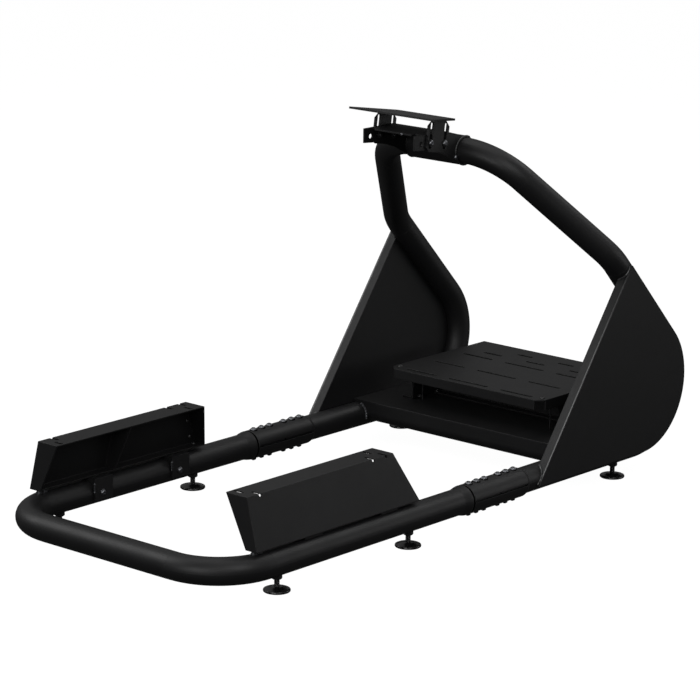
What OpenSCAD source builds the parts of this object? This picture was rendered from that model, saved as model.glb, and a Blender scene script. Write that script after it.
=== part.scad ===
// Sim racing cockpit frame: a tubular steel floor frame with a raised wheel
// hoop, sheet side panels, a slotted pedal deck, two seat brackets and
// six levelling feet.
// +X is the driver's right, +Y runs from the seat end to the pedal end, +Z is up.
// Lengths along the frame are measured from the centre line of the seat-end
// tube and shifted at the end so that the origin is the middle of the footprint.

/* [Tube] */
// Outside diameter of the frame tube
tube_diameter = 50.8; // [48:0.4:52]
// Wall thickness of the frame tube
tube_wall = 2; // [1.6:0.2:3]
// Height of the floor tubes' centre line
tube_axis_height = 54.3; // [52:0.5:60]
// Distance between the centre lines of the two side tubes
frame_width = 549; // [520:1:580]

/* [Seat end loop] */
// Corner radius of the seat-end loop, at the centre line
loop_corner_radius = 113; // [90:1:140]
// Position of the middle of the two joint sleeves
sleeve_centre = 737; // [725:1:750]

/* [Joint sleeves] */
// Length of a joint sleeve, without its rounded lip
sleeve_length = 160; // [140:2:170]
// Wall thickness of a joint sleeve
sleeve_wall = 3; // [2:0.5:4]
// Length of the rounded lip at the seat end of a sleeve
sleeve_lip_length = 28; // [20:1:34]
// Length of the thinner collar at the pedal end of a sleeve
sleeve_collar_length = 9; // [6:1:14]

/* [Side tubes and hoop] */
// Centre of the large bend at the pedal end
rear_bend_centre = 1182; // [1160:1:1200]
// Radius of the large bend at the pedal end
rear_bend_radius = 125; // [110:1:140]
// Angle turned by the large bend
rear_bend_angle = 133.5; // [130:0.5:137]
// Length of the sloping tube from the large bend to the hoop's shoulder
shoulder_distance = 251; // [230:1:270]
// Angle by which the hoop legs lean inward
hoop_lean = 25; // [22:0.5:28]
// Distance along the slope from the large bend to the top bar
hoop_height = 542; // [520:1:560]
// Radius of the hoop's shoulder bends
shoulder_radius = 110; // [90:5:140]
// Radius of the hoop's top bends
hoop_top_radius = 118; // [100:1:130]

/* [Side panels] */
// Sheet thickness of the side panels
panel_sheet = 2; // [1.5:0.5:3]
// Depth of the side panel box
panel_depth = 21; // [18:1:26]
// Position of the panel's front edge where it meets the floor
panel_front_foot = 838; // [820:1:850]
// Slope of the panel's front edge from the floor
panel_front_angle = 54.2; // [53:0.2:55]

/* [Pedal deck] */
// Width of the pedal deck
deck_width = 392; // [380:2:410]
// Depth of the pedal deck
deck_depth = 311; // [300:1:320]
// Position of the deck's front edge
deck_front = 988; // [980:1:996]
// Height of the deck's top face
deck_top = 166; // [160:1:172]
// Sheet thickness of the deck and its rails
deck_sheet = 3; // [2:0.5:4]
// Height of the deck's folded lips
deck_lip = 20; // [14:1:24]
// Width of the slots in the deck
deck_slot_width = 8.4; // [6.4:0.2:9]

/* [Seat brackets] */
// Position of the near end of a seat bracket
seat_near = 77; // [70:1:85]
// Position of the far end of a seat bracket, at its top
seat_far = 465; // [455:1:475]
// Extra length of a seat bracket at its bottom
seat_far_slant = 50; // [40:1:56]
// Height of the top face of a seat bracket
seat_top = 182; // [176:1:188]
// Height of the underside of a seat bracket
seat_bottom = 86; // [84:0.5:90]
// Width of the top face of a seat bracket
seat_top_width = 50; // [44:1:56]
// Width of the underside of a seat bracket
seat_bottom_width = 27; // [24:1:32]
// Sheet thickness of a seat bracket
seat_sheet = 3; // [2:0.5:4]

/* [Wheel mount] */
// Half the distance between the outer faces of the mount's cheeks
cheek_outer = 64; // [60:1:68]
// Downward tilt of the wheel plate toward the pedals
wheel_tilt = 8; // [4:1:12]
// Width of the wheel plate at the driver's edge
wheel_plate_near = 212; // [200:2:220]
// Width of the wheel plate at the far edge
wheel_plate_far = 144; // [140:2:160]
// Depth of the wheel plate
wheel_plate_depth = 105; // [98:1:112]
// Thickness of the wheel plate and its uprights
wheel_sheet = 4; // [3:0.5:5]

/* [Levelling feet] */
// Diameter of a foot disc
foot_diameter = 49; // [40:1:52]
// Diameter of a foot's threaded stem
foot_stem = 10; // [8:1:12]

/* [Hidden] */
$fn = 48;
tube_r = tube_diameter / 2;
half_width = frame_width / 2;
axis_z = tube_axis_height;
// Gap between pieces that touch
seat_gap = 0.3;
// Gap between a stem and its bore
stem_gap = 0.3;
// Small overlap that lets one cut pass right through
past = 1;

// How far a straight tube laps over a bend, and how much thinner the bend is there
lap = 0.5;
bend_relief = 0.12;

sin_bend = sin(rear_bend_angle);
cos_bend = cos(rear_bend_angle);
bend_z = axis_z + rear_bend_radius;
slope_start_y = rear_bend_centre + rear_bend_radius * sin_bend;
slope_start_z = bend_z - rear_bend_radius * cos_bend;

sleeve_r = tube_r + seat_gap + sleeve_wall;
sleeve_start = sleeve_centre - sleeve_length / 2;
sleeve_end = sleeve_centre + sleeve_length / 2;
tube_joint_gap = 4;

// Panel outline: the outer skin's edge stands this far outside the tube's centre line
panel_rim = 10.5;
panel_gap = 2.5;
rim_sheet = 2;
panel_outer_x = half_width + tube_r + panel_gap + panel_sheet;
panel_inner_x = panel_outer_x - panel_depth;

foot_positions = [141, 497, 1124];
foot_disc_height = 4;
foot_dome_height = 9;
foot_stem_top = axis_z - tube_r + tube_wall + 8;
foot_nut_r = 9;
foot_nut_height = 8;

rear_edge = rear_bend_centre + rear_bend_radius + tube_r;
front_edge = -tube_r;
shift_y = -(rear_edge + front_edge) / 2;

// Shared shapes

module ring(outer, wall) {
    difference() {
        circle(r = outer);
        circle(r = outer - wall);
    }
}

// Straight tube, lapping a little into the bends at the ends named
module tube_run(length, lap_start = 0, lap_end = 0) {
    translate([0, 0, -lap_start]) linear_extrude(length + lap_start + lap_end) ring(tube_r, tube_wall);
}

// Bent tube, a hair thinner than the straight tube that laps over its ends
module tube_bend(radius, angle) {
    rotate_extrude(angle = angle) translate([radius, 0]) ring(tube_r - bend_relief, tube_wall - 2 * bend_relief);
}

module rod_run(length, r) {
    cylinder(r = r, h = length);
}

// Lays a shape drawn along +Z down so that it runs along +Y
module along_y() {
    rotate([-90, 0, 0]) children();
}

// Lays a shape drawn along +Z down so that it runs along +X
module along_x() {
    rotate([0, 90, 0]) children();
}

// Draws children in the upright plane that runs front to back:
// drawing X becomes +Y and drawing Y becomes +Z, thickness toward +X
module upright_plane(x) {
    translate([x, 0, 0]) rotate([90, 0, 90]) children();
}

// Mirrors for the driver's left side
module side(s) {
    scale_x = s;
    if (scale_x > 0) children(); else mirror([1, 0, 0]) children();
}

module placed() {
    translate([0, shift_y, 0]) children();
}

// Plane of the sloping hoop, with its origin at the end of the large bend
module hoop_plane() {
    translate([0, slope_start_y, slope_start_z]) rotate([rear_bend_angle, 0, 0]) children();
}

// Floor frame

loop_leg_end = sleeve_centre - tube_joint_gap / 2;

module foot_holes(ys, s) {
    for (y = ys)
        translate([s * half_width, y, axis_z - tube_r - past]) cylinder(r = foot_stem / 2 + 2 * stem_gap, h = tube_wall + 2 * past);
}

module seat_loop() {
    straight = half_width - loop_corner_radius;
    color("dimgray") placed() difference() {
        union() {
            translate([-straight, 0, axis_z]) along_x() tube_run(2 * straight, lap, lap);
            translate([straight, loop_corner_radius, axis_z]) rotate([0, 0, -90]) tube_bend(loop_corner_radius, 90);
            translate([-straight, loop_corner_radius, axis_z]) rotate([0, 0, 180]) tube_bend(loop_corner_radius, 90);
            for (s = [-1, 1])
                translate([s * half_width, loop_corner_radius, axis_z]) along_y() tube_run(loop_leg_end - loop_corner_radius, lap);
        }
        for (s = [-1, 1]) foot_holes([foot_positions[0], foot_positions[1]], s);
    }
}

module side_tube(s) {
    color("dimgray") placed() side(s) difference() {
        union() {
            translate([half_width, loop_leg_end + tube_joint_gap, axis_z]) along_y()
                tube_run(rear_bend_centre - loop_leg_end - tube_joint_gap, 0, lap);
            upright_plane(half_width) translate([rear_bend_centre, bend_z, 0]) rotate([0, 0, -90])
                tube_bend(rear_bend_radius, rear_bend_angle);
            hoop_plane() translate([half_width, 0, 0]) along_y() tube_run(shoulder_joint, lap, 0);
        }
        foot_holes([foot_positions[2]], 1);
    }
}
module left_side_tube() { side_tube(-1); }
module right_side_tube() { side_tube(1); }

// Shoulder bend starts where the side tube ends
shoulder_joint = shoulder_distance - shoulder_radius * tan(hoop_lean / 2);
shoulder_end_x = half_width - shoulder_radius * (1 - cos(hoop_lean));
shoulder_end_s = shoulder_joint + shoulder_radius * sin(hoop_lean);
top_turn = 90 - hoop_lean;
// The leg runs until the top bend brings the tube to the top bar's line
leg_length = (hoop_height - hoop_top_radius * (1 - sin(hoop_lean)) - shoulder_end_s) / cos(hoop_lean);
leg_end_x = shoulder_end_x - leg_length * sin(hoop_lean);
leg_end_s = shoulder_end_s + leg_length * cos(hoop_lean);
top_centre_x = leg_end_x - hoop_top_radius * cos(hoop_lean);
top_centre_s = leg_end_s - hoop_top_radius * sin(hoop_lean);

module hoop_side() {
    translate([half_width - shoulder_radius, shoulder_joint, 0]) tube_bend(shoulder_radius, hoop_lean);
    translate([shoulder_end_x, shoulder_end_s, 0]) rotate([0, 0, hoop_lean]) along_y() tube_run(leg_length, lap, lap);
    translate([top_centre_x, top_centre_s, 0]) rotate([0, 0, hoop_lean]) tube_bend(hoop_top_radius, top_turn);
}

module wheel_hoop() {
    color("dimgray") placed() hoop_plane() {
        hoop_side();
        mirror([1, 0, 0]) hoop_side();
        translate([-top_centre_x, hoop_height, 0]) along_x() tube_run(2 * top_centre_x, lap, lap);
    }
}

top_bar_y = slope_start_y + hoop_height * cos_bend;
top_bar_z = slope_start_z + hoop_height * sin_bend;

// Joint sleeves

module joint_sleeve(s) {
    bore = tube_r + seat_gap;
    lip_r = sleeve_r + 1;
    color("dimgray") placed() side(s) difference() {
        translate([half_width, 0, axis_z]) rotate([-90, 0, 0]) rotate_extrude() polygon([
            [bore, sleeve_start - sleeve_lip_length],
            [bore + 1, sleeve_start - sleeve_lip_length],
            [sleeve_r - 0.5, sleeve_start - sleeve_lip_length * 0.75],
            [lip_r, sleeve_start - sleeve_lip_length * 0.4],
            [lip_r, sleeve_start - 3],
            [sleeve_r - 1, sleeve_start - 1.5],
            [sleeve_r - 1, sleeve_start],
            [sleeve_r, sleeve_start + 1],
            [sleeve_r, sleeve_end],
            [sleeve_r - 1.5, sleeve_end + 1],
            [sleeve_r - 1.5, sleeve_end + sleeve_collar_length],
            [bore, sleeve_end + sleeve_collar_length]]);
    }
}
module left_joint_sleeve() { joint_sleeve(-1); }
module right_joint_sleeve() { joint_sleeve(1); }

// Side panels

// Points of the panel outline, standing off the tube's centre line by off
arc_step = 4.45;
function arc_points(off) = [for (a = [0 : arc_step : rear_bend_angle]) [
    rear_bend_centre + (rear_bend_radius + off) * sin(a),
    bend_z - (rear_bend_radius + off) * cos(a)]];
// Where the front edge, drawn as a line, meets the line standing off the slope
front_dir = [cos(panel_front_angle), sin(panel_front_angle)];
front_start = [panel_front_foot, axis_z - tube_r];
slope_normal = [sin_bend, -cos_bend];
function apex(off, inset = 0) =
    let (base = [slope_start_y, slope_start_z] + off * slope_normal,
        start = front_start + inset * [front_dir[1], -front_dir[0]],
        t = ((base - start) * slope_normal) / (front_dir * slope_normal))
    start + t * front_dir;
function foot_point(off, inset = 0) =
    let (start = front_start + inset * [front_dir[1], -front_dir[0]],
        t = (axis_z - off - start[1]) / front_dir[1])
    start + t * front_dir;
function outline(off, inset = 0) = concat([foot_point(off, inset)], arc_points(off), [apex(off, inset)]);

// Distance from the tube's axis to its surface, with a gap, at an offset across
function tube_reach(across) = sqrt(pow(tube_r + 2 * seat_gap, 2) - pow(across, 2));
// The inner skin stops on the tube, this far inside its centre line
inner_skin_edge = tube_reach(panel_inner_x - half_width);

module side_panel(s) {
    rim_inner = panel_rim - rim_sheet;
    rim_x = half_width + tube_reach(rim_inner);
    cutter = tube_r + seat_gap;
    color("dimgray") placed() side(s) {
        // outer skin
        upright_plane(panel_outer_x - panel_sheet) linear_extrude(panel_sheet) polygon(outline(panel_rim));
        // folded rim that brings the skin's edge down to the tube
        upright_plane(rim_x) linear_extrude(panel_outer_x - panel_sheet / 2 - rim_x) difference() {
            polygon(outline(panel_rim));
            polygon(outline(rim_inner, -past));
        }
        // inner skin
        upright_plane(panel_inner_x) linear_extrude(panel_sheet) polygon(outline(-inner_skin_edge));
        // front strip, cut to sit on the tube at both ends
        difference() {
            upright_plane(panel_inner_x) linear_extrude(panel_depth - panel_sheet / 2) polygon([
                foot_point(panel_rim), foot_point(panel_rim, panel_sheet),
                apex(panel_rim, panel_sheet), apex(panel_rim)]);
            translate([half_width, sleeve_centre, axis_z]) along_y() rod_run(rear_bend_centre - sleeve_centre, cutter);
            hoop_plane() translate([half_width, 0, 0]) along_y() rod_run(hoop_height, cutter);
        }
    }
}
module left_side_panel() { side_panel(-1); }
module right_side_panel() { side_panel(1); }

// Base plate under the pedal deck

plate_sheet = 3;
plate_top = axis_z + 31.7;
plate_front = 983;
plate_back = 1165;
lip_low = axis_z - 11.7;
lip_bend = 20;
lip_corner = 22;
arc_turns = 8;

// Points of a quarter bend, from the wall's end to the bottom
function bend_points(r) = [for (i = [0 : arc_turns]) let (a = 90 * i / arc_turns) [-r * cos(a), -r * sin(a)]];

// One lip: upright wall with a wide bend at its foot, drawn with its wall at 0
module lip_profile() {
    centre = [lip_bend, lip_low + lip_bend];
    outer = [for (p = bend_points(lip_bend)) centre + p];
    inner = [for (p = bend_points(lip_bend - plate_sheet)) centre + p];
    polygon(concat([[plate_sheet, plate_top - plate_sheet / 2], [0, plate_top - plate_sheet / 2]], outer,
        [for (i = [len(inner) - 1 : -1 : 0]) inner[i]]));
}

module deck_base_plate() {
    w = panel_inner_x - seat_gap;
    inside = half_width - tube_r;
    color("dimgray") placed() difference() {
        union() {
            translate([-w, plate_front, plate_top - plate_sheet]) cube([2 * w, plate_back - plate_front, plate_sheet]);
            upright_plane(-w) linear_extrude(2 * w) translate([plate_front, 0]) lip_profile();
            upright_plane(-w) linear_extrude(2 * w) translate([plate_back, 0]) mirror([1, 0]) lip_profile();
        }
        for (s = [-1, 1]) side(s) {
            translate([half_width, plate_front - past, axis_z]) along_y() rod_run(plate_back - plate_front + 2 * past, tube_r + seat_gap);
            // rounded lower corners of both lips
            difference() {
                translate([inside - lip_corner, plate_front - past, lip_low - past]) cube([lip_corner + tube_r, plate_back - plate_front + 2 * past, lip_corner + past]);
                translate([inside - lip_corner, plate_front - 2 * past, lip_low + lip_corner - past / 2]) along_y() rod_run(plate_back - plate_front + 4 * past, lip_corner);
            }
        }
    }
}

// Pedal deck

slot_near_row = 1005;
slot_row_pitch = 90;
long_slot = 100;
side_slot = 80;
side_slot_x = 122;
short_slot = 48;
short_slot_x = 111;
back_slot = 40;
back_slot_x = 53;
short_row = 1222;
back_row = 1256;

module slot(x, y, length, width) {
    w = width / 2;
    translate([x - length / 2 + w, y]) circle(r = w);
    translate([x + length / 2 - w, y]) circle(r = w);
    translate([x - length / 2 + w, y - w]) square([length - width, width]);
}

module deck_slots() {
    for (row = [0 : 2]) {
        y = slot_near_row + row * slot_row_pitch;
        slot(0, y, long_slot, deck_slot_width);
        for (s = [-1, 1]) slot(s * side_slot_x, y, side_slot, deck_slot_width);
    }
    for (x = [-short_slot_x, 0, short_slot_x]) slot(x, short_row, short_slot, deck_slot_width);
    for (s = [-1, 1]) slot(s * back_slot_x, back_row, back_slot, deck_slot_width);
}

deck_corner = 16;

module pedal_deck() {
    w = deck_width / 2;
    back = deck_front + deck_depth;
    color("dimgray") placed() {
        translate([0, 0, deck_top - deck_sheet]) linear_extrude(deck_sheet) difference() {
            polygon([[-w + deck_corner, deck_front], [w - deck_corner, deck_front], [w, deck_front + deck_corner],
                [w, back], [-w, back], [-w, deck_front + deck_corner]]);
            deck_slots();
        }
        // front lip
        translate([-w + deck_corner, deck_front, deck_top - deck_lip]) cube([2 * (w - deck_corner), deck_sheet, deck_lip - deck_sheet]);
        // side lips
        for (s = [-1, 1]) side(s)
            translate([w - deck_sheet, deck_front + deck_corner, deck_top - deck_lip]) cube([deck_sheet, deck_depth - deck_corner, deck_lip - deck_sheet]);
    }
}

support_x = deck_width / 2 - 2 * deck_sheet - seat_gap;
support_top = [1020, 1250];
support_foot = [1060, 1150];
support_flare = 26;
support_flange = 28;

// Leg under one side of the deck, with a foot flange turned outward
module deck_support(s) {
    top = deck_top - deck_sheet - seat_gap;
    low = plate_top + seat_gap;
    lip = deck_top - deck_lip;
    color("dimgray") placed() side(s) {
        upright_plane(support_x) linear_extrude(deck_sheet) polygon([
            [support_foot[0], low], [support_foot[1], low],
            [support_foot[1], lip - support_flare], [support_foot[1] + support_flare / 2, lip], [support_top[1], lip],
            [support_top[1], top], [support_top[0], top], [support_top[0], lip],
            [support_foot[0] - support_flare / 2, lip], [support_foot[0], lip - support_flare]]);
        translate([support_x + deck_sheet / 2, support_foot[0] + deck_sheet, low])
            cube([support_flange, support_foot[1] - support_foot[0] - 2 * deck_sheet, deck_sheet]);
        translate([support_x - support_flange + deck_sheet / 2, support_top[0], top - deck_sheet])
            cube([support_flange, support_top[1] - support_top[0], deck_sheet]);
    }
}
module left_deck_support() { deck_support(-1); }
module right_deck_support() { deck_support(1); }

// Seat brackets

seat_bottom_outer = 286;
seat_top_outer = 262;
seat_slot_width = 8.4;
seat_slot_length = 22;
seat_slots = [[226, 95], [253, 110], [253, 410], [226, 435], [253, 446]];
seat_rib_y = 268;

// Cross-section point at a height, on the outer face or the open inner side
function seat_outer(z) = seat_bottom_outer + (seat_top_outer - seat_bottom_outer) * (z - seat_bottom) / (seat_top - seat_bottom);
function seat_inner(z) = seat_bottom_outer - seat_bottom_width
    + (seat_top_outer - seat_top_width - seat_bottom_outer + seat_bottom_width) * (z - seat_bottom) / (seat_top - seat_bottom);
function far_y(z) = seat_far + seat_far_slant * (seat_top - z) / (seat_top - seat_bottom);

module seat_section() {
    polygon([[seat_outer(seat_bottom), seat_bottom], [seat_outer(seat_top), seat_top],
        [seat_inner(seat_top), seat_top], [seat_inner(seat_bottom), seat_bottom]]);
}

// Slab of the bracket's cross-section between two stations
module seat_slab(y, length) {
    translate([0, y + length, 0]) rotate([90, 0, 0]) linear_extrude(length) children();
}

module seat_bracket(s) {
    full = seat_far + seat_far_slant - seat_near;
    t = seat_sheet;
    slant = atan(seat_far_slant / (seat_top - seat_bottom));
    color("dimgray") placed() side(s) difference() {
        union() {
            // top, outer face and bottom flange as one folded channel
            seat_slab(seat_near, full) difference() {
                seat_section();
                polygon([[seat_outer(seat_bottom) - t - 1, seat_bottom + t], [seat_outer(seat_top) - t, seat_top - t],
                    [seat_inner(seat_top) - 2 * t - seat_top_width, seat_top - t], [seat_inner(seat_bottom) - 2 * t - seat_top_width, seat_bottom + t]]);
            }
            // near end and middle rib
            for (y = [seat_near, seat_rib_y]) seat_slab(y, t) seat_section();
            // slanted far end
            intersection() {
                seat_slab(seat_near, full) seat_section();
                translate([seat_inner(seat_top) - t, seat_far, seat_top]) rotate([slant, 0, 0])
                    translate([0, -t, -2 * (seat_top - seat_bottom)]) cube([2 * seat_top_width, t, 3 * (seat_top - seat_bottom)]);
            }
        }
        // everything past the slanted end is cut off
        translate([seat_inner(seat_top) - past, seat_far, seat_top]) rotate([slant, 0, 0])
            translate([0, 0, -2 * (seat_top - seat_bottom)]) cube([3 * seat_top_width, full, 3 * (seat_top - seat_bottom)]);
        translate([0, 0, seat_top - 2 * t]) linear_extrude(3 * t)
            for (p = seat_slots) slot(p[0], p[1], seat_slot_length, seat_slot_width);
    }
}
module left_seat_bracket() { seat_bracket(-1); }
module right_seat_bracket() { seat_bracket(1); }

clamp_width = 46;
clamp_sheet = 4;
clamp_low = 42;
clamp_positions = [205, 411];

// Angle that holds a bracket down: a plate on the tube's inner side and a bar between tube and bracket
module seat_clamp(s, y) {
    top = seat_bottom - seat_gap;
    inner = half_width - tube_r - 2 * seat_gap - clamp_sheet;
    color("dimgray") placed() side(s) difference() {
        union() {
            translate([inner, y, clamp_low]) cube([clamp_sheet, clamp_width, top - clamp_low]);
            translate([inner, y, axis_z + tube_r / 2])
                cube([seat_bottom_outer - seat_sheet - inner, clamp_width, top - axis_z - tube_r / 2]);
        }
        translate([half_width, y - past, axis_z]) along_y() rod_run(clamp_width + 2 * past, tube_r + seat_gap);
        // outer side of the tube stays free
        translate([half_width, y - past, axis_z - tube_r]) cube([2 * tube_r, clamp_width + 2 * past, 2 * tube_r + 2 * seat_gap]);
    }
}
module left_front_seat_clamp() { seat_clamp(-1, clamp_positions[0]); }
module left_rear_seat_clamp() { seat_clamp(-1, clamp_positions[1]); }
module right_front_seat_clamp() { seat_clamp(1, clamp_positions[0]); }
module right_rear_seat_clamp() { seat_clamp(1, clamp_positions[1]); }

// Wheel mount

// Heights and reaches are measured from the top bar's centre line
base_top = top_bar_z + 45.5;
base_front = top_bar_y - 139.6;
base_back = top_bar_y - 63.6;
base_sheet = 3;
base_lip_half = 46;
base_notch = 12;
cheek_front = top_bar_y - 151.6;
cheek_low = top_bar_z + 17.5;
cheek_hole = [top_bar_y - 132.6, top_bar_z + 28.5];
cheek_hole_r = 5;
cheek_taper = [[top_bar_y - 110, top_bar_z + 14], [top_bar_y - 64, top_bar_z], [top_bar_y - 15, top_bar_z - 24]];
saddle_wall = 3;
saddle_r = tube_r + seat_gap + saddle_wall;
saddle_gap = 1;
strap_x = 40;
strap_lug = 8;

// The wheel plate's frame: origin on its underside over the uprights,
// drawing X along the plate toward the pedals, drawing Y away from its face
plate_origin = [top_bar_y - 82.1, top_bar_z + 69.5];
upright_slot_r = 4.2;
upright_slot_x = 21;
upright_slot_top = -9;
upright_slot_low = -52;
upright_bolt = -44;
module plate_plane(x) {
    upright_plane(x) translate(plate_origin) rotate([0, 0, -wheel_tilt]) children();
}

// Solid half round about the top bar, from x0 to x1; toward is -1 on the driver's side
module half_round(x0, x1, toward) {
    difference() {
        translate([x0, top_bar_y, top_bar_z]) along_x() rod_run(x1 - x0, saddle_r);
        translate([x0 - past, top_bar_y - (toward < 0 ? saddle_gap : 2 * saddle_r - saddle_gap), top_bar_z - 2 * saddle_r])
            cube([x1 - x0 + 2 * past, 2 * saddle_r, 4 * saddle_r]);
    }
}

module wheel_mount_base() {
    inside = cheek_outer - base_sheet / 2;
    seam = top_bar_y - saddle_gap;
    color("dimgray") placed() difference() {
        union() {
            // top plate, narrower at its front lip
            translate([-base_lip_half, base_front, base_top - base_sheet]) cube([2 * base_lip_half, base_notch + past, base_sheet]);
            translate([-inside, base_front + base_notch, base_top - base_sheet])
                cube([2 * inside, base_back - base_front - base_notch, base_sheet]);
            // slope from the top plate down to the saddle
            upright_plane(-inside) linear_extrude(2 * inside) polygon([
                [base_back - past, base_top], [base_back - past, base_top - base_sheet],
                [seam, top_bar_z + saddle_r - base_sheet / 2], [seam, top_bar_z + saddle_r]]);
            half_round(-inside, inside, -1);
            for (s = [-1, 1]) side(s)
                upright_plane(cheek_outer - base_sheet) linear_extrude(base_sheet) polygon(concat([
                    [cheek_front, cheek_low], [cheek_front, base_top], [base_back, base_top],
                    [seam, top_bar_z + saddle_r], [seam, top_bar_z - saddle_r]],
                    [for (i = [len(cheek_taper) - 1 : -1 : 0]) cheek_taper[i]]));
        }
        for (s = [-1, 1]) side(s) {
            upright_plane(cheek_outer - 2 * base_sheet) linear_extrude(3 * base_sheet) translate(cheek_hole) circle(r = cheek_hole_r);
            plate_plane(cheek_outer - 2 * base_sheet) linear_extrude(3 * base_sheet)
                for (u = [-upright_slot_x, upright_slot_x]) translate([u, upright_bolt]) circle(r = upright_slot_r);
        }
        translate([-2 * cheek_outer, top_bar_y, top_bar_z]) along_x() rod_run(4 * cheek_outer, tube_r + seat_gap);
    }
}

// Back half of the clamp, with a lug above and below for its bolts
module mount_strap(s) {
    color("dimgray") placed() side(s) difference() {
        union() {
            half_round(strap_x, cheek_outer, 1);
            for (z = [top_bar_z + saddle_r - saddle_wall / 2, top_bar_z - saddle_r - strap_lug + saddle_wall / 2])
                translate([strap_x, top_bar_y + saddle_gap, z]) cube([cheek_outer - strap_x, saddle_wall, strap_lug]);
        }
        translate([strap_x - past, top_bar_y, top_bar_z]) along_x() rod_run(cheek_outer - strap_x + 2 * past, tube_r + seat_gap);
    }
}
module left_mount_strap() { mount_strap(-1); }
module right_mount_strap() { mount_strap(1); }

upright_top_half = 19;
upright_half = 31;
upright_shoulder = -12;
upright_low = -62;
upright_corner = 8;

module upright(s) {
    color("dimgray") placed() side(s) plate_plane(cheek_outer + seat_gap) linear_extrude(wheel_sheet) difference() {
        polygon([[-upright_top_half, -seat_gap], [-upright_half, upright_shoulder],
            [-upright_half, upright_low + upright_corner], [-upright_half + upright_corner, upright_low],
            [upright_half - upright_corner, upright_low], [upright_half, upright_low + upright_corner],
            [upright_half, upright_shoulder], [upright_top_half, -seat_gap]]);
        for (u = [-upright_slot_x, upright_slot_x]) {
            translate([u, upright_slot_top]) circle(r = upright_slot_r);
            translate([u, upright_slot_low]) circle(r = upright_slot_r);
            translate([u - upright_slot_r, upright_slot_low]) square([2 * upright_slot_r, upright_slot_top - upright_slot_low]);
        }
    }
}
module left_upright() { upright(-1); }
module right_upright() { upright(1); }

// Distance along the plate from its origin back to the driver's edge
plate_reach = 64;

module wheel_plate() {
    n = wheel_plate_near / 2;
    f = wheel_plate_far / 2;
    color("dimgray") placed() translate([0, plate_origin[0], plate_origin[1]]) rotate([-wheel_tilt, 0, 0])
        linear_extrude(wheel_sheet) polygon([[-n, -plate_reach], [n, -plate_reach],
            [f, wheel_plate_depth - plate_reach], [-f, wheel_plate_depth - plate_reach]]);
}

// Levelling feet

module foot(s, y) {
    color("gray") placed() translate([s * half_width, y, 0]) {
        cylinder(r = foot_diameter / 2, h = foot_disc_height);
        translate([0, 0, foot_disc_height]) cylinder(r1 = foot_diameter / 2 - 2, r2 = foot_stem, h = foot_dome_height - foot_disc_height);
        translate([0, 0, foot_dome_height]) cylinder(r = foot_stem / 2, h = foot_stem_top - foot_dome_height);
    }
}
module left_front_foot() { foot(-1, foot_positions[0]); }
module left_middle_foot() { foot(-1, foot_positions[1]); }
module left_rear_foot() { foot(-1, foot_positions[2]); }
module right_front_foot() { foot(1, foot_positions[0]); }
module right_middle_foot() { foot(1, foot_positions[1]); }
module right_rear_foot() { foot(1, foot_positions[2]); }

module foot_nut(s, y) {
    color("gray") placed() difference() {
        translate([s * half_width, y, axis_z - tube_r - foot_nut_height + 2]) cylinder(r = foot_nut_r, h = foot_nut_height);
        translate([s * half_width, y, 0]) cylinder(r = foot_stem / 2 + stem_gap, h = axis_z);
        translate([s * half_width, y - 2 * foot_nut_r, axis_z]) along_y() rod_run(4 * foot_nut_r, tube_r + seat_gap);
    }
}
module left_front_foot_nut() { foot_nut(-1, foot_positions[0]); }
module left_middle_foot_nut() { foot_nut(-1, foot_positions[1]); }
module left_rear_foot_nut() { foot_nut(-1, foot_positions[2]); }
module right_front_foot_nut() { foot_nut(1, foot_positions[0]); }
module right_middle_foot_nut() { foot_nut(1, foot_positions[1]); }
module right_rear_foot_nut() { foot_nut(1, foot_positions[2]); }

seat_loop();
left_joint_sleeve();
right_joint_sleeve();
left_side_tube();
right_side_tube();
wheel_hoop();
left_side_panel();
right_side_panel();
deck_base_plate();
pedal_deck();
left_deck_support();
right_deck_support();
left_seat_bracket();
right_seat_bracket();
left_front_seat_clamp();
left_rear_seat_clamp();
right_front_seat_clamp();
right_rear_seat_clamp();
left_mount_strap();
right_mount_strap();
wheel_mount_base();
left_upright();
right_upright();
wheel_plate();
left_front_foot_nut();
left_middle_foot_nut();
left_rear_foot_nut();
right_front_foot_nut();
right_middle_foot_nut();
right_rear_foot_nut();
left_front_foot();
left_middle_foot();
left_rear_foot();
right_front_foot();
right_middle_foot();
right_rear_foot();
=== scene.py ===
import math

import bmesh
import bpy
from mathutils import Matrix, Vector


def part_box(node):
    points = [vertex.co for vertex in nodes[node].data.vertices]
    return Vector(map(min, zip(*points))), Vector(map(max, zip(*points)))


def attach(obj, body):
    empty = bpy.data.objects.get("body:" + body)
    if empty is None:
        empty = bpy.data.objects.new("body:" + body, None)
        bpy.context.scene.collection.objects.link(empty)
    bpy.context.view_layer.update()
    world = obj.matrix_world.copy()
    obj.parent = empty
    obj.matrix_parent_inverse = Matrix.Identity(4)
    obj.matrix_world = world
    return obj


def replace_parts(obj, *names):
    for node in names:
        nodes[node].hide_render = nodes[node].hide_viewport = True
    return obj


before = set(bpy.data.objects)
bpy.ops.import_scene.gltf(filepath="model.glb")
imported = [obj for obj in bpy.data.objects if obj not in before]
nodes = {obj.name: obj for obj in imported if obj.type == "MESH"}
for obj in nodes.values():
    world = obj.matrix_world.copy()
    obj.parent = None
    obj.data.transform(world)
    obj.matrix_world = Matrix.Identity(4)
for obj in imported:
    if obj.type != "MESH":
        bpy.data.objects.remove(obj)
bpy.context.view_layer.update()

mm = 0.001
sides = {"left": -1, "right": 1}


# A paint colour as read off a swatch, turned from sRGB hex to the linear values that nodes take
def fromHex(text):
    channels = [int(text[i:i + 2], 16) / 255 for i in (0, 2, 4)]
    linear = [c / 12.92 if c <= 0.04045 else ((c + 0.055) / 1.055) ** 2.4 for c in channels]
    return (*linear, 1.0)


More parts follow.
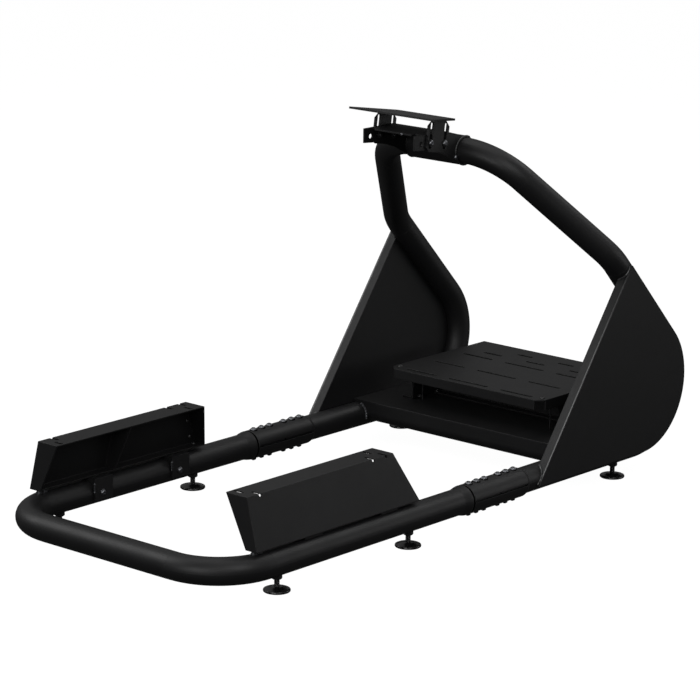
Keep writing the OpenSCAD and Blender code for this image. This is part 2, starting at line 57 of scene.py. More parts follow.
# Adds one node with its settings and the links into its sockets
def addNode(tree, kind, settings=None, links=None, **inputs):
    node = tree.nodes.new(kind)
    for name, value in (settings or {}).items():
        setattr(node, name, value)
    for name, value in inputs.items():
        node.inputs[name.replace("_", " ")].default_value = value
    for name, source in (links or {}).items():
        tree.links.new(source, node.inputs[name])
    return node


# Powder coat over steel: fine orange peel, a sheen that varies a little, soft fold edges
# that catch the light, and a trace of dust that lies on faces turned up.
# Sockets 6 and 7 of a colour mix are its two colours, and output 2 is the mixed one
def powderCoat(name, look):
    material = bpy.data.materials.new(name)
    material.use_nodes = True
    tree = material.node_tree
    tree.nodes.clear()
    place = addNode(tree, "ShaderNodeTexCoord").outputs["Object"]
    peel = addNode(tree, "ShaderNodeTexNoise", links={"Vector": place},
                   Scale=1 / look["peelSize"], Detail=2.0, Roughness=0.5)
    cloud = addNode(tree, "ShaderNodeTexNoise", links={"Vector": place},
                    Scale=1 / look["cloudSize"], Detail=3.0, Roughness=0.6)
    sheen = addNode(tree, "ShaderNodeMapRange", links={"Value": cloud.outputs["Fac"]},
                    From_Min=0.3, From_Max=0.7, To_Min=look["roughness"] - look["sheenSpread"],
                    To_Max=look["roughness"] + look["sheenSpread"])
    rounded = addNode(tree, "ShaderNodeBevel", {"samples": 4}, Radius=look["edgeRadius"])
    flat = addNode(tree, "ShaderNodeNewGeometry")
    match = addNode(tree, "ShaderNodeVectorMath", {"operation": "DOT_PRODUCT"})
    tree.links.new(rounded.outputs["Normal"], match.inputs[0])
    tree.links.new(flat.outputs["Normal"], match.inputs[1])
    rubbed = addNode(tree, "ShaderNodeMapRange", links={"Value": match.outputs["Value"]},
                     From_Min=0.99, From_Max=0.85, To_Min=0.0, To_Max=look["edgeWear"])
    tint = addNode(tree, "ShaderNodeMix", {"data_type": "RGBA"}, links={"Factor": rubbed.outputs["Result"]})
    tint.inputs[6].default_value = fromHex(look["paint"])
    tint.inputs[7].default_value = fromHex(look["rubbedPaint"])
    facing = addNode(tree, "ShaderNodeSeparateXYZ", links={"Vector": flat.outputs["Normal"]})
    speck = addNode(tree, "ShaderNodeTexNoise", links={"Vector": place},
                    Scale=1 / look["dustSize"], Detail=4.0, Roughness=0.7)
    lying = addNode(tree, "ShaderNodeMath", {"operation": "MULTIPLY"},
                    links={0: facing.outputs["Z"], 1: speck.outputs["Fac"]})
    dust = addNode(tree, "ShaderNodeMapRange", links={"Value": lying.outputs[0]},
                   From_Min=0.35, From_Max=0.75, To_Min=0.0, To_Max=look["dust"])
    dusty = addNode(tree, "ShaderNodeMix", {"data_type": "RGBA"},
                    links={"Factor": dust.outputs["Result"], 6: tint.outputs[2]})
    dusty.inputs[7].default_value = fromHex(look["dustColour"])
    bump = addNode(tree, "ShaderNodeBump", Strength=look["peelStrength"], Distance=look["peelDepth"], links={
        "Height": peel.outputs["Fac"], "Normal": rounded.outputs["Normal"]})
    shader = addNode(tree, "ShaderNodeBsdfPrincipled", links={
        "Base Color": dusty.outputs[2], "Roughness": sheen.outputs["Result"], "Normal": bump.outputs["Normal"]},
        IOR=look["ior"], Metallic=0.0, Specular_IOR_Level=look["gloss"])
    addNode(tree, "ShaderNodeOutputMaterial", links={"Surface": shader.outputs["BSDF"]})
    return material


# Zinc plated or bare steel: grey, half bright, with faint clouds
def zincPlate(name, look):
    material = bpy.data.materials.new(name)
    material.use_nodes = True
    tree = material.node_tree
    shader = tree.nodes["Principled BSDF"]
    place = addNode(tree, "ShaderNodeTexCoord").outputs["Object"]
    cloud = addNode(tree, "ShaderNodeTexNoise", links={"Vector": place},
                    Scale=1 / look["cloudSize"], Detail=3.0, Roughness=0.6)
    tint = addNode(tree, "ShaderNodeMix", {"data_type": "RGBA"}, links={"Factor": cloud.outputs["Fac"]})
    tint.inputs[6].default_value = fromHex(look["metal"])
    tint.inputs[7].default_value = fromHex(look["clouded"])
    tree.links.new(tint.outputs[2], shader.inputs["Base Color"])
    shader.inputs["Metallic"].default_value = 1.0
    shader.inputs["Roughness"].default_value = look["roughness"]
    return material


# Satin black polyester powder, sprayed on steel tube and baked: a soft sheen runs along the bends.
# Its orange peel is of real size, too fine to see from the camera, where it only breaks up the sheen
tubeCoatLook = {"paint": "121213", "rubbedPaint": "2a2a2c", "roughness": 0.48, "sheenSpread": 0.03,
                "gloss": 0.37, "ior": 1.5, "peelSize": 1.4 * mm, "peelDepth": 0.03 * mm, "peelStrength": 0.4,
                "cloudSize": 60 * mm, "edgeRadius": 1.2 * mm, "edgeWear": 0.25,
                "dustColour": "8a8a88", "dustSize": 3 * mm, "dust": 0.03}
tubeCoat = powderCoat("satin powder coated steel tube", tubeCoatLook)
# The same powder on folded sheet: a finer peel, flatter tones, and folds round enough to hold a line of light
sheetCoatLook = dict(tubeCoatLook, paint="0f0f10", roughness=0.52, peelSize=0.9 * mm, edgeRadius=2.2 * mm)
sheetCoat = powderCoat("fine matt powder coated folded steel sheet", sheetCoatLook)
# Laser cut plate has crisper edges than a fold
cutCoatLook = dict(sheetCoatLook, edgeRadius=0.9 * mm)
cutCoat = powderCoat("matt powder coated laser cut steel plate", cutCoatLook)
# Glass filled nylon out of a mould: darker than the paint and glossier, so the discs show small sharp lights
footCoatLook = dict(tubeCoatLook, paint="0a0a0b", roughness=0.22, gloss=0.7, edgeRadius=0.6 * mm, dust=0.02)
footCoat = powderCoat("moulded black glass filled nylon foot", footCoatLook)
# Black oxide on machined steel: thin, and worn grey along the corners
oxideLook = dict(tubeCoatLook, paint="1a1a1b", rubbedPaint="4a4a4c", roughness=0.35, edgeRadius=0.4 * mm,
                 edgeWear=0.5, gloss=0.5, peelSize=0.5 * mm, peelStrength=0.2)
oxideSteel = powderCoat("black oxidised machined steel bolts", oxideLook)
# Painted shade: a near-black matt colour stands in for the shade in slits, the ring line and under bolt heads
paintedShadeLook = dict(tubeCoatLook, paint="030303", rubbedPaint="030303", roughness=0.9, gloss=0.05, dust=0.0)
paintedShadeCoat = powderCoat("near-black painted shade in slits and under bolt heads", paintedShadeLook)
# Powder draws thin over a weld or a tight fold, which leaves a glossy line
beadLook = dict(tubeCoatLook, roughness=0.3, gloss=0.8, peelStrength=0.2, edgeRadius=0.3 * mm, dust=0.01)
beadCoat = powderCoat("powder coat drawn thin and glossy over welds and folds", beadLook)
# Bright zinc on turned steel: small grey-white lights among the black
zincLook = {"metal": "88898c", "clouded": "5e6064", "roughness": 0.34, "cloudSize": 4 * mm}
zincSteel = zincPlate("zinc plated turned steel bolts", zincLook)
# A weld bead rubbed through to bare steel, dull between its ripples
bareWeldLook = {"metal": "6c6d70", "clouded": "303133", "roughness": 0.4, "cloudSize": 3 * mm}
weldSteel = zincPlate("weld bead rubbed through to bright steel", bareWeldLook)

footNodes = [name for name in nodes if name.endswith("_foot")]
nutNodes = [name for name in nodes if name.endswith("_foot_nut")]
for name, node in nodes.items():
    node.data.materials.clear()
    if name in footNodes or name in nutNodes:
        coat = footCoat
    elif any(word in name for word in ("panel", "deck", "bracket")):
        coat = sheetCoat
    elif any(word in name for word in ("mount_base", "upright", "wheel_plate", "clamp")):
        coat = cutCoat
    else:
        coat = tubeCoat
    node.data.materials.append(coat)
    for polygon in node.data.polygons:
        polygon.use_smooth = True
print("materials on", len(nodes), "frame pieces")

# Lengths below are millimetres; along the frame they start at the seat-end tube's centre line
tubeRadius = 25.4
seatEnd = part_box("seat_loop")[0].y / mm + tubeRadius
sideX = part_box("seat_loop")[1].x / mm - tubeRadius
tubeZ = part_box("seat_loop")[1].z / mm - tubeRadius


def at(x, y, z):
    return Vector((x, y + seatEnd, z)) * mm


# One piece from one or more shapes; each shape is (points in metres, faces)
def makePiece(name, shapes, body, coat, sharpAngle=32):
    mesh = bpy.data.meshes.new(name)
    form = bmesh.new()
    for points, faces in shapes:
        corners = [form.verts.new(p) for p in points]
        for face in faces:
            form.faces.new([corners[i] for i in face])
    bmesh.ops.remove_doubles(form, verts=form.verts, dist=1e-6)
    bmesh.ops.recalc_face_normals(form, faces=form.faces)
    form.to_mesh(mesh)
    form.free()
    mesh.materials.append(coat)
    for polygon in mesh.polygons:
        polygon.use_smooth = True
    mesh.set_sharp_from_angle(angle=math.radians(sharpAngle))
    piece = bpy.data.objects.new(name, mesh)
    bpy.context.scene.collection.objects.link(piece)
    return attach(piece, body)


def alongAxis(axis):
    return Vector((0, 0, 1)).rotation_difference(Vector(axis))


# Distance from the middle of a hexagon to its edge, as a multiple of half its width across flats
def hexReach(angle):
    return 1 / math.cos(math.radians((angle + 30) % 60 - 30))


# Turned form: profile points are (radius, height), or (half flats, height, "hex") for a six-sided ring
def turned(profile, origin, axis=(0, 0, 1), steps=36, spin=0):
    turn = alongAxis(axis)
    points, faces = [], []
    for ring in profile:
        for i in range(steps):
            angle = 360 * i / steps
            radius = ring[0] * (hexReach(angle) if len(ring) > 2 else 1)
            a = math.radians(angle + spin)
            points.append(origin + turn @ (Vector((radius * math.cos(a), radius * math.sin(a), ring[1])) * mm))
    for j in range(len(profile) - 1):
        for i in range(steps):
            k = (i + 1) % steps
            quad = [j * steps + i, j * steps + k, (j + 1) * steps + k, (j + 1) * steps + i]
            if profile[j][0] == 0:
                quad = [quad[0], quad[2], quad[3]]
            elif profile[j + 1][0] == 0:
                quad = quad[:3]
            faces.append(quad)
    return points, faces


# Button head with a hexagon socket; its skirt reaches a little below the seat
def buttonHead(origin, axis, size, skirt=1.2):
    radius, height, socket = size * 0.875, size * 0.55, size * 0.3125
    dome = [(radius * math.cos(a) ** 0.8, height * math.sin(a)) for a in (0.15, 0.35, 0.6, 0.85, 1.1)]
    profile = [(radius * 0.97, -skirt), (radius, 0)] + dome + [
        (socket * 1.45, height), (socket, height, "hex"), (socket, height * 0.35, "hex"), (0, height * 0.25)]
    return turned(profile, origin, axis)


# Hexagon nut with chamfered corners, and the end of its bolt; height is a share of the bolt size
def hexNut(origin, axis, size, height=0.8, tail=2.5):
    flats, tall = size * 0.81, size * height
    chamfer = 0.08 * size
    nut = turned([(size * 0.5, 0), (flats * 0.98, 0), (flats, chamfer, "hex"), (flats, tall - chamfer, "hex"),
                  (flats * 0.98, tall), (size * 0.5, tall)], origin, axis)
    end = [(size * 0.49, 0), (size * 0.49, tall + tail - 0.8), (size * 0.4, tall + tail), (0, tall + tail)]
    return [nut, turned(end, origin, axis)]


def washer(origin, axis, size, thick=1.6):
    return turned([(size * 0.53, 0), (size - 0.3, 0), (size, 0.3), (size, thick - 0.3),
                   (size - 0.3, thick), (size * 0.53, thick)], origin, axis)


# Rounded bead laid along a path of points, with the ripples that a welder leaves
def weldBead(path, radius, ripples=0.14, sections=10):
    points, faces = [], []
    for i, here in enumerate(path):
        ahead = path[min(i + 1, len(path) - 1)] - path[max(i - 1, 0)]
        turn = alongAxis(ahead.normalized())
        ripple = 1 + ripples * math.sin(i * 2.1)
        taper = 0.35 if i in (0, len(path) - 1) else 1
        for j in range(sections):
            a = 2 * math.pi * j / sections
            points.append(here + turn @ (Vector((math.cos(a), math.sin(a), 0)) * radius * ripple * taper * mm))
    for i in range(len(path) - 1):
        for j in range(sections):
            k = (j + 1) % sections
            faces.append([i * sections + j, i * sections + k, (i + 1) * sections + k, (i + 1) * sections + j])
    last = (len(path) - 1) * sections
    return points, faces + [list(range(sections)), list(range(last, last + sections))]


def arcPath(centre, radius, start, end, plane, pitch=1.6):
    count = max(4, int(abs(math.radians(end - start)) * radius / pitch))
    path = []
    for i in range(count + 1):
        a = math.radians(start + (end - start) * i / count)
        u, v = radius * math.cos(a), radius * math.sin(a)
        path.append(centre + Vector((u, 0, v) if plane == "xz" else (0, u, v)) * mm)
    return path


def linePath(start, end, pitch=1.6):
    count = max(4, int((end - start).length / mm / pitch))
    return [start.lerp(end, i / count) for i in range(count + 1)]


# Joint sleeves: a rounded lip, a ring line, a slit along each side and six bolts that pinch it
sleeveLook = {"radius": 28.7, "sunk": 0.1, "lipRise": 0.2, "lipStart": 629, "lipRun": 4.6, "ring": 657,
              "grooveDepth": 3.4, "grooveBack": 4.0, "end": 816.5, "collar": 826,
              "slitStart": 659, "slitEnd": 816, "slitDepth": 3.4, "slitAngle": 4.2, "slitTurn": 3,
              "boltY": (670, 693, 716, 757, 781, 804), "boltSize": 7.3, "nutSize": 6.5, "washer": 8.2}


def sleeveShape(x, look):
    outer, lip, ring = look["radius"], look["radius"] + look["lipRise"], look["ring"]
    inner, floor = tubeRadius - look["sunk"], lip - look["grooveDepth"]
    groove = ring - look["grooveBack"]
    run = ring - look["lipStart"] - look["lipRun"]
    # both ends run out onto the tube in a smooth swage
    profile = []
    for i in range(13):
        rise = (1 - math.cos(math.pi * i / 12)) / 2
        profile.append((inner + (lip - inner) * rise, look["lipStart"] + run * i / 12))
    profile += [(lip - 0.2, groove - 0.6), (lip - 1.0, groove - 0.1), (floor, groove),
                (floor, ring + 0.3), (outer - 0.6, ring + 0.4), (outer, ring + 1.2)]
    profile += [(outer, y) for y in (look["slitStart"] - 0.2, look["slitStart"],
                                     look["slitEnd"], look["slitEnd"] + 0.2)]
    for i in range(1, 13):
        fall = (1 - math.cos(math.pi * i / 12)) / 2
        profile.append((outer - (outer - inner) * fall,
                        look["end"] + (look["collar"] - look["end"]) * i / 12))
    half = look["slitAngle"]
    middles = (look["slitTurn"], 180 - look["slitTurn"])
    angles = [a for a in range(0, 360, 6)
              if all(abs(a - m) > half + 1 and abs(a - 360 - m) > half + 1 for m in middles)]
    for middle in middles:
        angles += [middle - half, middle - half + 0.15, middle + half - 0.15, middle + half]
    angles.sort()
    points, faces = [], []
    for radius, y in profile:
        for angle in angles:
            alongSlit = look["slitStart"] <= y <= look["slitEnd"]
            inSlit = alongSlit and any(abs(angle - m) < half - 0.1 for m in middles)
            r = radius - look["slitDepth"] if inSlit else radius
            a = math.radians(angle)
            points.append(at(x + r * math.cos(a), y, tubeZ + r * math.sin(a)))
    count = len(angles)
    for j in range(len(profile) - 1):
        for i in range(count):
            k = (i + 1) % count
            faces.append([j * count + i, j * count + k, (j + 1) * count + k, (j + 1) * count + i])
    return points, faces


look = sleeveLook
for side, sign in sides.items():
    x = sign * sideX
    sleeve = makePiece(side + "_sleeve_shell", [sleeveShape(x, look)], "frame", tubeCoat)
    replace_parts(sleeve, side + "_joint_sleeve")
    # the bottoms of the slits and of the ring line get the near-black painted shade
    sleeve.data.materials.append(paintedShadeCoat)
    first, last = seatEnd + look["ring"] - 5, seatEnd + look["slitEnd"]
    for polygon in sleeve.data.polygons:
        middle = polygon.center / mm
        if math.hypot(middle.x - x, middle.z - tubeZ) < look["radius"] - 1.2 and first < middle.y < last:
            polygon.material_index = 1
    top, low = tubeZ + look["radius"] - 0.6, tubeZ - look["radius"] + 0.4
    heads = [buttonHead(at(x, y, top + 0.9), (0, 0, 1), look["boltSize"], 0) for y in look["boltY"]]
    makePiece(side + "_sleeve_bolts", heads, "frame", zincSteel)
    # the washers under the bolt heads get the near-black painted shade, a dark line below each head
    rings = [washer(at(x, y, top - 0.6), (0, 0, 1), look["washer"], 1.5) for y in look["boltY"]]
    makePiece(side + "_sleeve_washers", rings, "frame", paintedShadeCoat)
    ends = [shape for y in look["boltY"]
            for shape in hexNut(at(x, y, low), (0, 0, -1), look["nutSize"], 0.6, 1.5)]
    makePiece(side + "_sleeve_nuts", ends, "frame", oxideSteel)
print("joint sleeves and bolts")

# Levelling feet: moulded disc with a rounded rim and a dome on a threaded stem, and its nut
footLook = {"radius": 24.5, "rim": 5, "dome": 9, "stem": 5, "thread": 1.5, "top": 38.9,
            "nutFlats": 8.348, "nutChamfer": 0.8, "nutTurn": 15}
look = footLook
for name in footNodes:
    low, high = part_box(name)
    centre = Vector(((low.x + high.x) / 2, (low.y + high.y) / 2, 0))
    r, rim, dome, stem = look["radius"], look["rim"], look["dome"], look["stem"]
    profile = [(0, 0), (r - 2.5, 0), (r - 0.8, 0.4), (r, 1.4), (r, rim - 1.6), (r - 0.5, rim - 0.6),
               (r - 1.6, rim), (r - 4, rim + 0.3), (15, rim + 1.4), (11, dome - 0.5), (9.5, dome), (stem, dome)]
    turns = int((look["top"] - dome) / look["thread"])
    for i in range(turns):
        z = dome + i * look["thread"]
        profile += [(stem - 0.7, z + 0.2), (stem, z + look["thread"] * 0.45), (stem, z + look["thread"] * 0.6),
                    (stem - 0.7, z + look["thread"] * 0.95)]
    profile += [(stem - 1, look["top"] - 0.01), (0, look["top"])]
    disc = turned(profile, centre, steps=48)
    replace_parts(makePiece(name + "_turned", [disc], name + "_screw", footCoat), name)
for name in nutNodes:
    low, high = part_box(name)
    centre = Vector(((low.x + high.x) / 2, (low.y + high.y) / 2, low.z))
    tall = (high.z - low.z) / mm
    flats, bore = look["nutFlats"], look["stem"] + 0.3
    nut = turned([(bore, 0), (flats * 0.98, 0), (flats, look["nutChamfer"], "hex"), (flats, tall, "hex"),
                  (bore, tall)], centre, spin=look["nutTurn"])
    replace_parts(makePiece(name + "_hex", [nut], "frame", oxideSteel), name)
print("levelling feet")

# Seat bracket fixings: a bolt and a short weld at each clamp, bolts in the far end, spacers near the loop
clampLook = {"size": 6.5, "washer": 1.2, "boltIn": 20, "boltUp": 14,
             "weldIn": 2, "weldLow": 16, "weldHigh": 36, "weld": 2.4}
seatLook = {"wallBolts": ((270, 477, 140), (278.5, 493, 104)), "flangeBolt": (276, 500, 89), "size": 5,
            "spacerIn": 4, "spacerY": (86, 100), "spacerRadius": 6, "spacerWall": 1.5}
for side, sign in sides.items():
    parts, beads = [], []
    look = clampLook
    inward = Vector((-sign, 0, 0))
    for end in ("front", "rear"):
        low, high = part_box(side + "_" + end + "_seat_clamp")
        face = min(abs(low.x), abs(high.x)) * sign
        spot = Vector((face, low.y + look["boltIn"] * mm, low.z + look["boltUp"] * mm))
        parts.append(washer(spot, inward, look["size"], look["washer"]))
        parts.append(buttonHead(spot + inward * look["washer"] * mm, inward, look["size"], 0))
        weldX = face + sign * look["weldIn"] * mm
        first, last = (Vector((weldX, low.y, low.z + look[level] * mm)) for level in ("weldLow", "weldHigh"))
        beads.append(weldBead(linePath(first, last), look["weld"]))
    makePiece(side + "_clamp_bolts", parts, "frame", zincSteel)
    makePiece(side + "_clamp_welds", beads, "frame", weldSteel)
    look = seatLook
    heads = [buttonHead(at(sign * x, y, z), inward, look["size"]) for x, y, z in look["wallBolts"]]
    x, y, z = look["flangeBolt"]
    heads.append(buttonHead(at(sign * x, y, z), (0, 0, 1), look["size"]))
    makePiece(side + "_seat_end_bolts", heads, "frame", oxideSteel)
    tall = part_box(side + "_seat_bracket")[0].z / mm - tubeZ - tubeRadius
    wide = look["spacerRadius"]
    thin = wide - look["spacerWall"]
    spacers = [turned([(0, -0.5), (wide, -0.5), (wide, 1.6), (thin, 1.7), (thin, tall), (0, tall)],
                      at(sign * (sideX - look["spacerIn"]), y, tubeZ + tubeRadius)) for y in look["spacerY"]]
    makePiece(side + "_bracket_spacers", spacers, "frame", zincSteel)
print("seat bracket fixings")

# Deck fixings: a bolt in each front corner, two in each support's foot flange, and the support's rounded fold
deckLow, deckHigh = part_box("pedal_deck")
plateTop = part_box("deck_base_plate")[1].z
deckLook = {"size": 6, "cornerIn": 13, "cornerBack": 22, "flangeIn": 34, "flangeSheet": 3.3, "washer": 1.6,
            "flangeY": (89, 145), "foldIn": 1.4, "foldBack": 72.6, "foldLow": 88, "foldHigh": 150, "fold": 1.3}
look = deckLook
for side, sign in sides.items():
    low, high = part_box(side + "_deck_support")
    near, far = sorted((abs(low.x), abs(high.x)))
    cornerX = sign * (deckHigh.x - look["cornerIn"] * mm)
    corner = Vector((cornerX, deckLow.y + look["cornerBack"] * mm, deckHigh.z))
    parts = [buttonHead(corner, (0, 0, 1), look["size"], 0.2)]
    for y in look["flangeY"]:
        spot = Vector((sign * (far - look["flangeIn"] * mm), deckLow.y + y * mm,
                       plateTop + look["flangeSheet"] * mm))
        parts.append(washer(spot, (0, 0, 1), look["size"], look["washer"]))
        parts.append(buttonHead(spot + Vector((0, 0, look["washer"] * mm)), (0, 0, 1), look["size"], 0))
    makePiece(side + "_deck_bolts", parts, "frame", oxideSteel)
    foldX = sign * (near + look["foldIn"] * mm)
    foldY = deckLow.y + look["foldBack"] * mm
    first, last = (Vector((foldX, foldY, look[level] * mm)) for level in ("foldLow", "foldHigh"))
    fold = weldBead(linePath(first, last), look["fold"], 0)
    makePiece(side + "_support_fold", [fold], "frame", beadCoat)

# Cross web that ties the two deck supports together, with a flange along its foot
webLook = {"back": 1150, "sheet": 3, "flange": 22, "bend": 4, "low": 86.3, "high": 162.5, "half": 189.5}
look = webLook
back, low, bend, top = look["back"], look["low"], look["bend"], look["high"]
lip, front, inside = back - look["flange"], back - look["sheet"], low + look["sheet"]
outline = [(back, top), (back, low + bend)]
for i in range(1, 5):
    a = math.radians(90 * i / 4)
    outline.append((back - bend * (1 - math.cos(a)), low + bend * (1 - math.sin(a))))
outline += [(lip, low), (lip, inside), (front, inside), (front, top)]
count = len(outline)
points = [at(x, y, z) for x in (-look["half"], look["half"]) for y, z in outline]
faces = [[i, (i + 1) % count, count + (i + 1) % count, count + i] for i in range(count)]
faces += [list(range(count)), list(range(count, 2 * count))]
makePiece("deck_support_web", [(points, faces)], "frame", sheetCoat)
print("deck bolts and web")

# Wheel mount: cheek bolts with nuts inside, the clamps round the top bar with their rims, and small screws
mountLook = {"barY": 899.58, "barZ": 658.49, "tilt": 8, "planeY": 817.48, "planeZ": 727.99, "outerX": 68.3,
             "innerX": 61, "u": 21, "v": -44, "size": 6.8, "washer": 1.6,
             "lipScrew": (22, 759.7, 702), "lipScrewSize": 3.6,
             "cheekScrew": (63.8, 873, 648), "cheekScrewSize": 6}
clampShellLook = {"bore": 25.7, "outer": 28.7, "edge": 0.8, "wide": 24, "innerX": 40, "start": -88, "end": 88,
                  "rimX": 63.6, "rimReach": 27.4, "rimStart": 60, "rimEnd": 300, "rim": 2.3}


# Part of a turned form about an axis along X; angles start at +Y and rise toward +Z
def turnedPart(profile, origin, sign, start, end, steps=32):
    points, faces = [], []
    rings = len(profile)
    for i in range(steps + 1):
        a = math.radians(start + (end - start) * i / steps)
        for r, h in profile:
            points.append(origin + Vector((sign * h, r * math.cos(a), r * math.sin(a))) * mm)
    for i in range(steps):
        for j in range(rings - 1):
            faces.append([i * rings + j, i * rings + j + 1, (i + 1) * rings + j + 1, (i + 1) * rings + j])
    for i in (0, steps):
        faces.append([i * rings + j for j in range(rings - 1)])
    return points, faces


def onPlate(x, u, v):
    t = math.radians(mountLook["tilt"])
    return at(x, mountLook["planeY"] + u * math.cos(t) + v * math.sin(t),
              mountLook["planeZ"] - u * math.sin(t) + v * math.cos(t))


for side, sign in sides.items():
    look = mountLook
    nuts, heads = [], []
    outward = Vector((sign, 0, 0))
    for u in (-look["u"], look["u"]):
        spot = onPlate(sign * look["outerX"], u, look["v"])
        nuts.append(washer(spot, outward, look["size"], look["washer"]))
        heads.append(buttonHead(spot + outward * look["washer"] * mm, outward, look["size"], 0))
        nuts += hexNut(onPlate(sign * look["innerX"], u, look["v"]), -outward, look["size"])
    makePiece(side + "_cheek_nuts", nuts, "frame", oxideSteel)
    makePiece(side + "_cheek_bolts", heads, "frame", zincSteel)
    look = clampShellLook
    bore, outer, edge, wide = look["bore"], look["outer"], look["edge"], look["wide"]
    profile = [(bore, 0), (outer - edge, 0), (outer, edge), (outer, wide - edge), (outer - edge, wide),
               (bore, wide), (bore, 0)]
    middle = at(sign * look["innerX"], mountLook["barY"], mountLook["barZ"])
    halfShell = turnedPart(profile, middle, sign, look["start"], look["end"])
    strap = makePiece(side + "_strap_shell", [halfShell], "frame", cutCoat)
    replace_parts(strap, side + "_mount_strap")
    middle = at(sign * look["rimX"], mountLook["barY"], mountLook["barZ"])
    rim = weldBead(arcPath(middle, look["rimReach"], look["rimStart"], look["rimEnd"], "yz"), look["rim"])
    makePiece(side + "_saddle_rim", [rim], "frame", beadCoat)
    look = mountLook
    x, y, z = look["cheekScrew"]
    screw = buttonHead(at(sign * x, y, z), outward, look["cheekScrewSize"])
    makePiece(side + "_saddle_screw", [screw], "frame", zincSteel)
screw = buttonHead(at(*look["lipScrew"]), (0, -1, 0), look["lipScrewSize"], 0)
makePiece("mount_lip_screw", [screw], "frame", zincSteel)
print("wheel mount fixings")

# Welds and folds. The strip along each panel's front edge stands on the line through its foot
weldLook = {"lip": 3.2, "lipY": (982.5, 1165.5), "lipReach": 26.2, "strip": 2.2, "fold": 2.4,
            "foldIn": 2.5, "foldSunk": 1.9, "foldFirst": 22, "foldLast": 10}
stripLook = {"footY": 838, "footZ": 28.9, "angle": 54.2, "outer": 304.4}
slope = math.radians(stripLook["angle"])
stripDir = Vector((0, math.cos(slope), math.sin(slope)))
stripNormal = Vector((0, -math.sin(slope), math.cos(slope)))
stripFoot = at(0, stripLook["footY"], stripLook["footZ"])
bendLook = {"turn": 133.5, "y": 1182, "radius": 125}
turn = math.radians(bendLook["turn"])
slopeStart = at(0, bendLook["y"] + bendLook["radius"] * math.sin(turn),
                tubeZ + bendLook["radius"] * (1 - math.cos(turn)))
floorRun = (at(0, 0, tubeZ), Vector((0, 1, 0)), Vector((0, 0, 1)))
slopeRun = (slopeStart, Vector((0, math.cos(turn), math.sin(turn))),
            Vector((0, -math.sin(turn), math.cos(turn))))


# Where the strip's plane meets a tube: one point for each angle round the tube
def stripOnTube(sign, run, start, end, count=26):
    origin, along, across = run
    path = []
    for i in range(count + 1):
        a = math.radians(start + (end - start) * i / count)
        out = Vector((sign * (sideX + tubeRadius * math.cos(a)), 0, 0)) + across * tubeRadius * math.sin(a)
        p = origin + out * mm
        path.append(p - along * ((p - stripFoot).dot(stripNormal) / along.dot(stripNormal)))
    return path


for side, sign in sides.items():
    look = weldLook
    first, last = (112, 195) if sign > 0 else (68, -15)
    beads = [weldBead(arcPath(at(sign * sideX, y, tubeZ), look["lipReach"], first, last, "xz"), look["lip"])
             for y in look["lipY"]]
    makePiece(side + "_lip_welds", beads, "frame", weldSteel)
    beads = [weldBead(stripOnTube(sign, floorRun, 72, -20), look["strip"]),
             weldBead(stripOnTube(sign, slopeRun, 68, -20), look["strip"])]
    makePiece(side + "_frame_welds", beads, "frame", beadCoat)
    # rounded fold where the strip meets the panel's outer face
    span = (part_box(side + "_side_panel")[1].z - stripFoot.z) / math.sin(slope)
    edge = stripFoot + Vector((sign * (stripLook["outer"] - look["foldIn"]) * mm, 0, 0))
    edge -= stripNormal * look["foldSunk"] * mm
    begin = edge + stripDir * look["foldFirst"] * mm
    finish = edge + stripDir * (span - look["foldLast"] * mm)
    fold = weldBead(linePath(begin, finish, 8), look["fold"], 0)
    makePiece(side + "_strip_folds", [fold], "frame", beadCoat)
print("weld beads and folds")

# The camera and any glass see the background white. Gloss sees a small share of that white, because
# the whole of it would turn the satin black coat grey
floorLook = {"size": 60.0, "darkFloor": "2a2a2a", "shadowShare": 0.1, "glow": 0.975}
roomLook = {"horizon": 0.09, "ceiling": 0.26, "glossShare": 0.03}


def seenWhite(tree):
    ray = addNode(tree, "ShaderNodeLightPath")
    gloss = addNode(tree, "ShaderNodeMath", {"operation": "MULTIPLY"}, links={0: ray.outputs["Is Glossy Ray"]})
    gloss.inputs[1].default_value = roomLook["glossShare"]
    either = addNode(tree, "ShaderNodeMath", {"operation": "MAXIMUM"}, links={
        0: ray.outputs["Is Camera Ray"], 1: gloss.outputs[0]})
    return addNode(tree, "ShaderNodeMath", {"operation": "MAXIMUM"}, links={
        0: either.outputs[0], 1: ray.outputs["Is Transmission Ray"]}).outputs[0]


# Pale floor: a white card with a faint shadow for the camera, a dark studio floor for everything else
floorMesh = bpy.data.meshes.new("floor")
half = floorLook["size"] / 2
corners = [(-half, -half, 0), (half, -half, 0), (half, half, 0), (-half, half, 0)]
floorMesh.from_pydata(corners, [], [(0, 1, 2, 3)])
floor = bpy.data.objects.new("floor", floorMesh)
bpy.context.scene.collection.objects.link(floor)
floorPaint = bpy.data.materials.new("white painted studio floor")
floorPaint.use_nodes = True
tree = floorPaint.node_tree
tree.nodes.clear()
dark = addNode(tree, "ShaderNodeBsdfDiffuse", Color=fromHex(floorLook["darkFloor"]))
card = addNode(tree, "ShaderNodeBsdfDiffuse", Color=(floorLook["shadowShare"],) * 3 + (1,))
glow = addNode(tree, "ShaderNodeEmission", Color=(1, 1, 1, 1), Strength=floorLook["glow"])
white = addNode(tree, "ShaderNodeAddShader", links={0: card.outputs[0], 1: glow.outputs[0]})
pick = addNode(tree, "ShaderNodeMixShader", links={0: seenWhite(tree), 1: dark.outputs[0], 2: white.outputs[0]})
addNode(tree, "ShaderNodeOutputMaterial", links={"Surface": pick.outputs[0]})
floorMesh.materials.append(floorPaint)

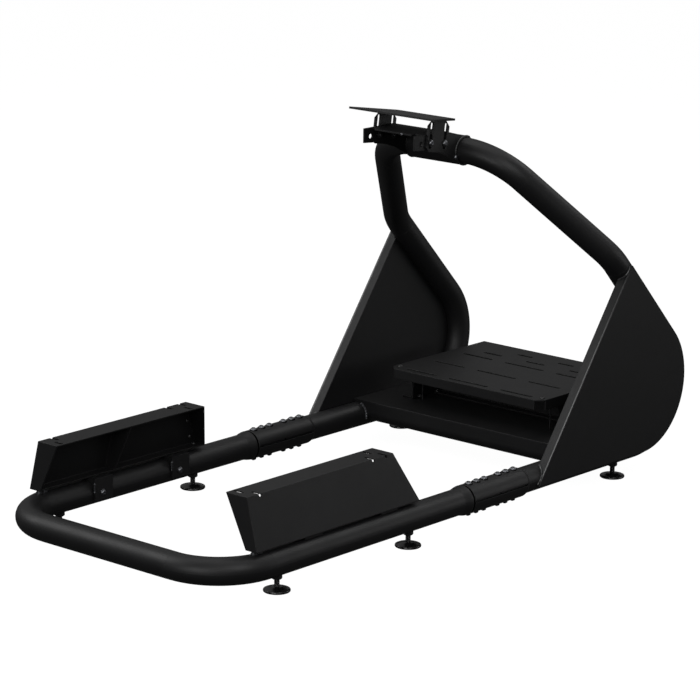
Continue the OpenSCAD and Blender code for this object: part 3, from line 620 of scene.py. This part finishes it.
# The room: white to the camera; what lights the object is bright above and dim near the floor
world = bpy.data.worlds.new("studio")
bpy.context.scene.world = world
world.use_nodes = True
tree = world.node_tree
tree.nodes.clear()
heading = addNode(tree, "ShaderNodeTexCoord")
split = addNode(tree, "ShaderNodeSeparateXYZ", links={"Vector": heading.outputs["Generated"]})
climb = addNode(tree, "ShaderNodeMapRange", links={"Value": split.outputs["Z"]},
                From_Min=0.0, From_Max=1.0, To_Min=roomLook["horizon"], To_Max=roomLook["ceiling"])
room = addNode(tree, "ShaderNodeBackground", links={"Strength": climb.outputs["Result"]}, Color=(1, 1, 1, 1))
white = addNode(tree, "ShaderNodeBackground", Strength=1.0, Color=(1, 1, 1, 1))
pick = addNode(tree, "ShaderNodeMixShader", links={0: seenWhite(tree), 1: room.outputs[0], 2: white.outputs[0]})
addNode(tree, "ShaderNodeOutputWorld", links={"Surface": pick.outputs[0]})

# Softboxes, in metres and watts
lightLook = {
    "overhead": {"place": (0.0, 0.2, 3.2), "aim": (0, 0, 0), "size": (3.0, 3.0), "power": 24},
    "left key": {"place": (-2.2, -1.6, 2.1), "aim": (0, 0, 0.2), "size": (1.8, 1.8), "power": 34},
    "right key": {"place": (2.6, -1.3, 2.0), "aim": (0, 0, 0.2), "size": (1.6, 1.6), "power": 26},
    "front fill": {"place": (0.9, -3.6, 1.1), "aim": (0, 0, 0.2), "size": (2.6, 1.2), "power": 36},
    "back key": {"place": (0.8, 2.6, 2.4), "aim": (0, 0, 0.2), "size": (2.0, 1.0), "power": 13},
    "right rear fill": {"place": (2.3, 2.5, 0.7), "aim": (0, 0, 0.3), "size": (2.2, 1.0), "power": 9}}


def softbox(name, look):
    light = bpy.data.lights.new(name, "AREA")
    light.shape = "RECTANGLE"
    light.size, light.size_y = look["size"]
    light.energy = look["power"]
    box = bpy.data.objects.new(name, light)
    bpy.context.scene.collection.objects.link(box)
    box.location = look["place"]
    box.rotation_mode = "QUATERNION"
    box.rotation_quaternion = (Vector(look["aim"]) - Vector(look["place"])).to_track_quat("-Z", "Y")


for name, look in lightLook.items():
    softbox(name, look)
print("studio")

# Camera fitted to the photo
cameraLook = {"place": (3.77579, -4.34277, 1.72502), "right": (0.752005, 0.659059, 0.011388),
              "up": (-0.16718, 0.173988, 0.970453), "back": (0.637605, -0.731689, 0.241022),
              "lens": 159.992, "sensor": 36}
cameraData = bpy.data.cameras.new("photo camera")
cameraData.lens = cameraLook["lens"]
cameraData.sensor_width = cameraLook["sensor"]
cameraData.clip_end = 100
camera = bpy.data.objects.new("photo camera", cameraData)
bpy.context.scene.collection.objects.link(camera)
turn = Matrix((cameraLook["right"], cameraLook["up"], cameraLook["back"])).transposed()
camera.matrix_world = Matrix.Translation(cameraLook["place"]) @ turn.to_4x4()
bpy.context.scene.camera = camera
bpy.context.scene.view_settings.view_transform = "Standard"
